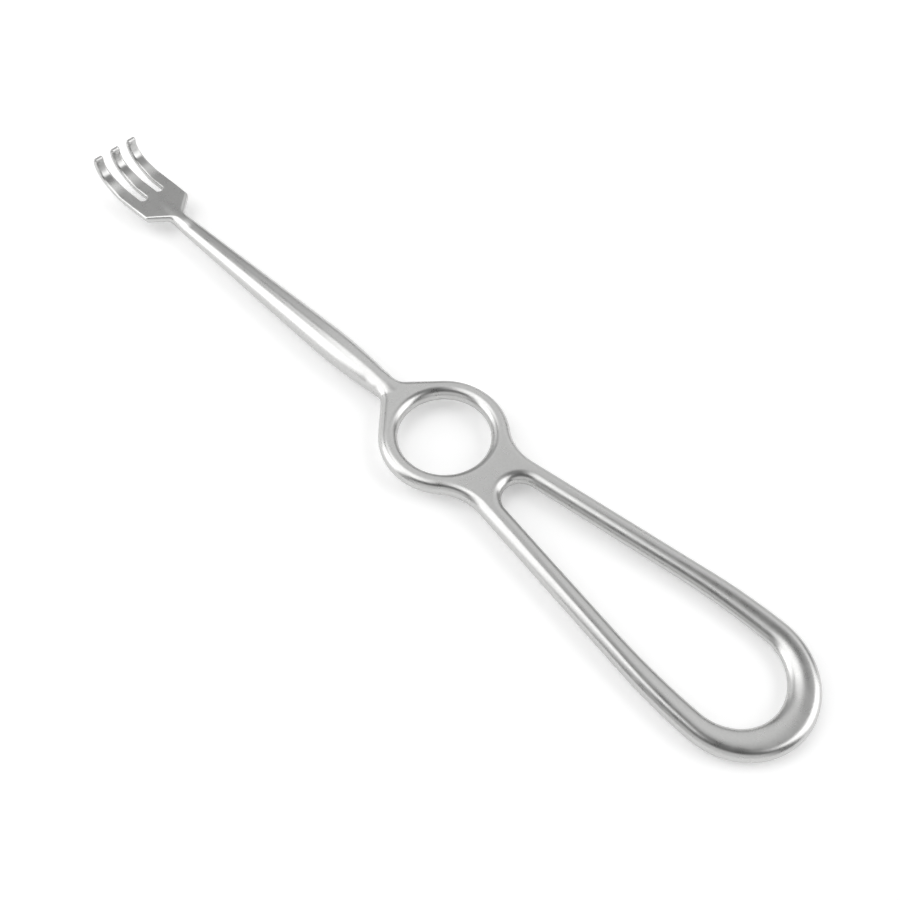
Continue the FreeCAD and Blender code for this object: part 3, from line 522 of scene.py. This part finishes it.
def surface_net(values, planes):
    """Corners and four-sided facets of the surface at zero in a box of values.

    The planes are the places of the values along X, Y and Z. Each cell that the surface passes through gets
    one corner, in the middle of where it crosses the cell's edges, and each crossed edge gets one facet,
    between the four cells round it.
    """
    inside = values < 0
    cells = tuple(n - 1 for n in values.shape)
    corner_sum = np.zeros(cells + (3,), np.float32)
    crossings = np.zeros(cells, np.int32)
    facets = []
    for axis in range(3):
        low, high = along_axis(axis, slice(None, -1)), along_axis(axis, slice(1, None))
        crossed = inside[low] != inside[high]
        place = np.argwhere(crossed)
        before, after = values[low][crossed], values[high][crossed]
        point = np.stack([planes[a][place[:, a]] for a in range(3)], axis=1)
        step = np.diff(planes[axis])[place[:, axis]]
        point[:, axis] += before / (before - after) * step
        u, v = (axis + 1) % 3, (axis + 2) % 3
        # The four cells round each crossed edge, in turn
        around = []
        for back_u, back_v in ((0, 0), (1, 0), (1, 1), (0, 1)):
            cell = place.copy()
            cell[:, u] -= back_u
            cell[:, v] -= back_v
            np.add.at(corner_sum, tuple(cell.T), point)
            np.add.at(crossings, tuple(cell.T), 1)
            around.append(cell)
        facets.append((around, inside[low][crossed]))
    used = crossings > 0
    number = np.full(crossings.shape, -1)
    number[used] = np.arange(used.sum())
    points = corner_sum[used] / crossings[used][:, None]
    # Facets face outwards, so their order is reversed where the metal begins along the axis
    quads = []
    for around, leaving in facets:
        quad = np.stack([number[tuple(cell.T)] for cell in around], axis=1)
        quad[~leaving] = quad[~leaving][:, ::-1]
        quads.append(quad)
    return points.astype(float), np.concatenate(quads)


def slopes_at(form, points):
    """Slopes of a form along X, Y and Z at each point, and the square of its steepest slope there."""
    slopes = np.empty_like(points)
    for axis in range(3):
        step = np.zeros(3)
        step[axis] = PROBE
        slopes[:, axis] = (form(*(points + step).T) - form(*(points - step).T)) / (2 * PROBE)
    return slopes, np.maximum((slopes ** 2).sum(axis=1), LEAST_SQUARE)


def settle(form, points):
    """Move points onto the surface of a form; give them back with the outward directions there."""
    for _ in range(SETTLE_STEPS):
        slopes, square = slopes_at(form, points)
        points = points - (form(*points.T) / square)[:, None] * slopes
    slopes, square = slopes_at(form, points)
    return points, slopes / np.sqrt(square)[:, None]


def swell_depth(s):
    """How far the thickest place of the shaft reaches below the handle's middle."""
    return s.swell_diameter / 2 + s.swell_station * math.tan(s.shaft_dip)


def sampling_planes(s):
    """Places along X, Y and Z at which the form is sampled, closer together along the fork."""
    margin = MARGIN_FACETS * s.mesh_pitch
    back, side = s.loop_end_station + s.loop_end_radius + margin, s.loop_end_radius + margin
    below = swell_depth(s) + margin
    front, top = (reach + margin for reach in hook_reach(s))
    fork_start = s.fork_neck_station - s.plate_tail
    along = (np.arange(-back, fork_start, s.mesh_pitch), np.arange(fork_start, front, s.fork_pitch))
    return np.concatenate(along), np.arange(-side, side, s.cross_pitch), np.arange(-below, top, s.cross_pitch)


def laying_down(s):
    """Turn and shift, in millimetres, from the drawing to the instrument lying on its loop end and swell."""
    half = s.handle_thickness / 2
    angle = math.atan((swell_depth(s) - half) / (s.swell_station + s.rest_station))
    loop_reach = s.loop_end_station + s.loop_end_radius
    turn = Matrix.Rotation(-angle, 4, "Y")
    height = s.rest_station * math.sin(angle) + half * math.cos(angle)
    return Matrix.Translation(((loop_reach - hook_reach(s)[0]) / 2, 0, height)) @ turn


def forging_mesh(s):
    """The forging as it lies on the table, shaded by the directions of its own form."""
    form = Forging(s)
    planes = sampling_planes(s)
    values = form.whole(*np.meshgrid(*planes, indexing="ij", sparse=True))
    points, faces = surface_net(values, planes)
    points, directions = settle(form.whole, points)
    mesh = bpy.data.meshes.new("forging")
    mesh.from_pydata(points.tolist(), [], faces.tolist())
    placement = Matrix.Scale(MM, 4) @ laying_down(s)
    mesh.transform(placement)
    turn = np.array(placement.to_3x3().normalized())
    mesh.shade_smooth()
    mesh.normals_split_custom_set_from_vertices((directions @ turn.T).tolist())
    if mesh.validate():
        raise RuntimeError("the forging's mesh is not sound")
    return mesh


def steel_material(finish):
    """Forged stainless steel, bead blasted and then rubbed by hand.

    It mirrors its surroundings softly, with a fine grain and patches that are a little more or less polished.
    The dimples that the beads leave are too fine to show from here, so they are drawn as coarse as it takes.
    """
    material = bpy.data.materials.new("satin_stainless_steel")
    material.use_nodes = True
    tree = material.node_tree
    tree.nodes.clear()
    place = node(tree, "ShaderNodeTexCoord")
    cloud = node(tree, "ShaderNodeTexNoise", {"Scale": 1 / finish.cloud_size, "Detail": 3.0},
                 {"Vector": place.outputs["Object"]})
    grain = node(tree, "ShaderNodeTexNoise", {"Scale": 1 / finish.grain_size, "Detail": 2.0},
                 {"Vector": place.outputs["Object"]})
    polish = node(tree, "ShaderNodeMapRange", {
        "From Min": NOISE_LOW, "From Max": NOISE_HIGH, "To Min": finish.roughness - finish.roughness_spread,
        "To Max": finish.roughness + finish.roughness_spread}, {"Value": cloud.outputs["Fac"]})
    # The dimples catch a little less light, so they tint the steel as well as bend its surface
    tone = node(tree, "ShaderNodeMapRange", {
        "From Min": NOISE_LOW, "From Max": NOISE_HIGH, "To Min": 1 - finish.tone_spread,
        "To Max": 1 + finish.tone_spread}, {"Value": grain.outputs["Fac"]})
    colour = node(tree, "ShaderNodeHueSaturation", {"Color": finish.colour}, {
        "Value": tone.outputs["Result"]})
    dimples = node(tree, "ShaderNodeBump", {"Distance": finish.grain_depth}, {"Height": grain.outputs["Fac"]})
    shader = node(tree, "ShaderNodeBsdfPrincipled", {"Metallic": 1.0}, {
        "Base Color": colour.outputs["Color"], "Roughness": polish.outputs["Result"],
        "Normal": dimples.outputs["Normal"]})
    node(tree, "ShaderNodeOutputMaterial", links={"Surface": shader.outputs["BSDF"]})
    return material


class RETRACTOR_OT_forging(bpy.types.Operator):
    """Form the one-piece steel forging"""
    bl_idname = "retractor.forging"
    bl_label = "Forging"

    def execute(self, context):
        mesh = forging_mesh(in_millimetres(context.scene.retractor_sizes))
        mesh.materials.append(steel_material(context.scene.retractor_finish))
        piece = bpy.data.objects.new("forging", mesh)
        context.scene.collection.objects.link(piece)
        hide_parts(NODE)
        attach(piece, "root")
        return {"FINISHED"}


# Soft light panels round the table: name, direction in degrees from +X, rise above the table in degrees,
# distance, width and height in metres, and brightness where the white table is 1
PANELS = (
    ("low_left_panel", 47, 25, 1.0, 0.98, 1.30, 2.2),
    ("left_wall", 8, 20, 1.1, 0.85, 0.95, 0.9),
    ("roof_panel", 32, 70, 0.9, 1.05, 0.70, 1.9),
    ("right_panel", 219, 30, 1.0, 0.95, 1.40, 2.2),
    ("rear_panel", 285, 38, 1.0, 1.50, 1.45, 0.82),
    ("corner_panel", 336, 28, 1.1, 0.65, 1.20, 0.36),
    ("front_wall", 130, 18, 1.1, 2.80, 1.00, 0.75),
)


def add_panel(softness, name, heading, rise, distance, width, height, brightness):
    """A rectangular softbox that faces the middle of the table and fades towards its edges."""
    data = bpy.data.lights.new(name, "AREA")
    data.use_nodes = True
    tree = data.node_tree
    place = node(tree, "ShaderNodeNewGeometry")
    across = node(tree, "ShaderNodeSeparateXYZ", links={0: place.outputs["Parametric"]})
    fade = []
    for axis in (0, 1):
        inward = node(tree, "ShaderNodeMath", {"operation": "PINGPONG", 1: 0.5}, {0: across.outputs[axis]})
        fade.append(node(tree, "ShaderNodeMapRange", {
            "interpolation_type": "SMOOTHSTEP", "From Max": softness}, {"Value": inward.outputs[0]}))
    strength = node(tree, "ShaderNodeMath", {"operation": "MULTIPLY"}, {
        0: fade[0].outputs["Result"], 1: fade[1].outputs["Result"]})
    tree.links.new(strength.outputs[0], tree.nodes["Emission"].inputs["Strength"])
    data.shape = "RECTANGLE"
    data.size = width
    data.size_y = height
    # The power at which the panel's face is as bright as it should be
    data.energy = brightness * width * height * math.pi
    lamp = bpy.data.objects.new(name, data)
    turn = Euler((math.radians(90 - rise), 0, math.radians(heading + 90)))
    lamp.rotation_euler = turn
    lamp.location = turn.to_matrix() @ Vector((0, 0, distance))
    bpy.context.scene.collection.objects.link(lamp)


def table_material(setup):
    """Opal acrylic sheet with a sanded face.

    It is an even white that mirrors nothing and lets a little light through from below. Seen directly, or in
    the polish of the steel, it is pure white, as an overlit table is, and keeps the shadows on it.
    """
    material = bpy.data.materials.new("sanded_opal_acrylic")
    material.use_nodes = True
    tree = material.node_tree
    tree.nodes.clear()
    sheet = node(tree, "ShaderNodeBsdfDiffuse", {"Color": setup.table_colour})
    path = node(tree, "ShaderNodeLightPath")
    seen = node(tree, "ShaderNodeMath", {"operation": "ADD"}, {
        0: path.outputs["Is Camera Ray"], 1: path.outputs["Is Glossy Ray"]})
    seen = node(tree, "ShaderNodeMath", {"operation": "ADD"}, {
        0: seen.outputs[0], 1: path.outputs["Is Transmission Ray"]})
    strength = node(tree, "ShaderNodeMath", {
        "operation": "MULTIPLY_ADD", 1: setup.table_lift, 2: setup.table_glow}, {0: seen.outputs[0]})
    glow = node(tree, "ShaderNodeEmission", {"Color": setup.table_colour}, {
        "Strength": strength.outputs[0]})
    shader = node(tree, "ShaderNodeAddShader", links={0: sheet.outputs[0], 1: glow.outputs[0]})
    node(tree, "ShaderNodeOutputMaterial", links={"Surface": shader.outputs[0]})
    return material


class RETRACTOR_OT_studio(bpy.types.Operator):
    """Set up the white table, the lamps and the camera"""
    bl_idname = "retractor.studio"
    bl_label = "Studio"

    def execute(self, context):
        setup = context.scene.retractor_studio
        half = setup.table_side / 2
        corners = [(-half, -half, 0), (half, -half, 0), (half, half, 0), (-half, half, 0)]
        floor_mesh = bpy.data.meshes.new("table")
        floor_mesh.from_pydata(corners, [], [(0, 1, 2, 3)])
        floor_mesh.materials.append(table_material(setup))
        floor = bpy.data.objects.new("table", floor_mesh)
        context.scene.collection.objects.link(floor)

        world = bpy.data.worlds.new("studio")
        world.use_nodes = True
        world.node_tree.nodes["Background"].inputs["Color"].default_value = setup.room_colour
        context.scene.world = world
        for panel in PANELS:
            add_panel(setup.panel_softness, *panel)

        data = bpy.data.cameras.new("camera")
        data.lens = setup.lens_mm
        data.sensor_width = SENSOR_MM
        data.clip_start = CLIP_START
        camera = bpy.data.objects.new("camera", data)
        camera.location = setup.camera_place
        camera.rotation_euler = Euler(setup.camera_turn)
        context.scene.collection.objects.link(camera)
        context.scene.camera = camera
        context.scene.view_settings.view_transform = "Standard"
        return {"FINISHED"}


class RETRACTOR_PT_sidebar(bpy.types.Panel):
    """The steps in order, and what can be changed"""
    bl_idname = "RETRACTOR_PT_sidebar"
    bl_label = "Retractor"
    bl_space_type = "VIEW_3D"
    bl_region_type = "UI"
    bl_category = "Retractor"

    def draw(self, context):
        for step in STEPS:
            self.layout.operator(step)
        scene = context.scene
        for group in (scene.retractor_sizes, scene.retractor_finish, scene.retractor_studio):
            for name in group.bl_rna.properties.keys():
                if name not in ("rna_type", "name"):
                    self.layout.prop(group, name)


STEPS = ("retractor.forging", "retractor.studio")
CLASSES = (
    ForgingSizes, SteelFinish, StudioSetup, RETRACTOR_OT_forging, RETRACTOR_OT_studio, RETRACTOR_PT_sidebar)


def register():
    for cls in CLASSES:
        bpy.utils.register_class(cls)
    bpy.types.Scene.retractor_sizes = bpy.props.PointerProperty(type=ForgingSizes)
    bpy.types.Scene.retractor_finish = bpy.props.PointerProperty(type=SteelFinish)
    bpy.types.Scene.retractor_studio = bpy.props.PointerProperty(type=StudioSetup)


def unregister():
    del bpy.types.Scene.retractor_studio
    del bpy.types.Scene.retractor_finish
    del bpy.types.Scene.retractor_sizes
    for cls in reversed(CLASSES):
        bpy.utils.unregister_class(cls)


def main():
    register()
    bpy.ops.retractor.forging()
    bpy.ops.retractor.studio()


if __name__ == "__main__":
    main()
